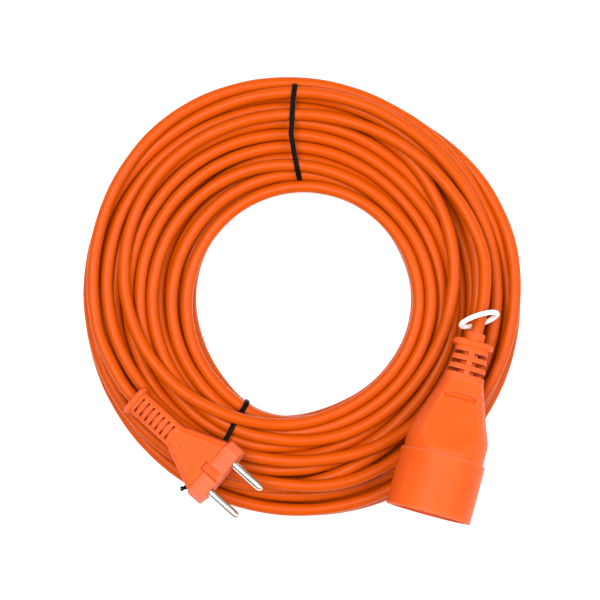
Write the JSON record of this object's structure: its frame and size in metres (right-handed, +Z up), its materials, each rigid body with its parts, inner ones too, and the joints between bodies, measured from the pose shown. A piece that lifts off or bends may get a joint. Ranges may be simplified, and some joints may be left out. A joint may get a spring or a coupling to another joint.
{
  "type": "extension cord",
  "caption": "Orange extension cord wound into a flat ring held by black ties, with a two-pin plug, a round single socket and a white hanging ring on the cord.",
  "frame": {"origin": "on the floor under the middle of the coil, at the bottom centre of the whole object's box", "axes": "+Z up from the floor the coil lies on; +X towards the side the socket lies on; -Y towards the socket's mouth"},
  "size_m": [0.2294, 0.2305, 0.0648],
  "materials": {
    "cord_sheath": "satin orange PVC sheath",
    "moulded_body": "satin orange moulded PVC",
    "pin_metal": "nickel-plated",
    "contact_metal": "bare brass",
    "carrier": "natural polyamide",
    "core_brown": "satin",
    "core_blue": "satin",
    "tie_black": "satin black",
    "ring_white": "white moulded"
  },
  "bodies": {
    "coil": {"cable_coil": "cord_sheath", "cable_tail_plug": "cord_sheath", "cable_tail_socket": "cord_sheath", "tie_top": "tie_black", "tie_lower": "tie_black", "plug_strain_relief": "moulded_body", "socket_strain_relief": "moulded_body"},
    "plug": {"plug_body": "moulded_body", "plug_pin_bridge": "carrier", "plug_pin_left": "pin_metal", "plug_pin_right": "pin_metal", "plug_core_brown": "core_brown", "plug_core_blue": "core_blue"},
    "socket": {"socket_front_shell": "moulded_body", "socket_rear_body": "moulded_body", "socket_insert": "moulded_body", "socket_contact_left": "contact_metal", "socket_contact_right": "contact_metal", "socket_core_brown": "core_brown", "socket_core_blue": "core_blue"},
    "ring": {"hang_ring": "ring_white"}
  },
  "joints": [
    {"name": "plug_bend", "type": "hinge", "parent": "coil", "child": "plug", "pos_m": [-0.0749, -0.06184, 0.03128], "axis": [-0.6626, -0.749, 0], "range_deg": [0, 35], "stiffness_Nm_per_rad": 0.3, "deforming": ["plug_strain_relief"]},
    {"name": "socket_bend", "type": "hinge", "parent": "coil", "child": "socket", "pos_m": [0.08433, -0.03395, 0.03407], "axis": [-0.9641, 0.2656, 0], "range_deg": [0, 30], "stiffness_Nm_per_rad": 0.5, "deforming": ["socket_strain_relief"]},
    {"name": "ring_slide", "type": "slide", "parent": "coil", "child": "ring", "axis": [0.2638, 0.9579, -0.1132], "range_m": [0, 0.01]}
  ]
}
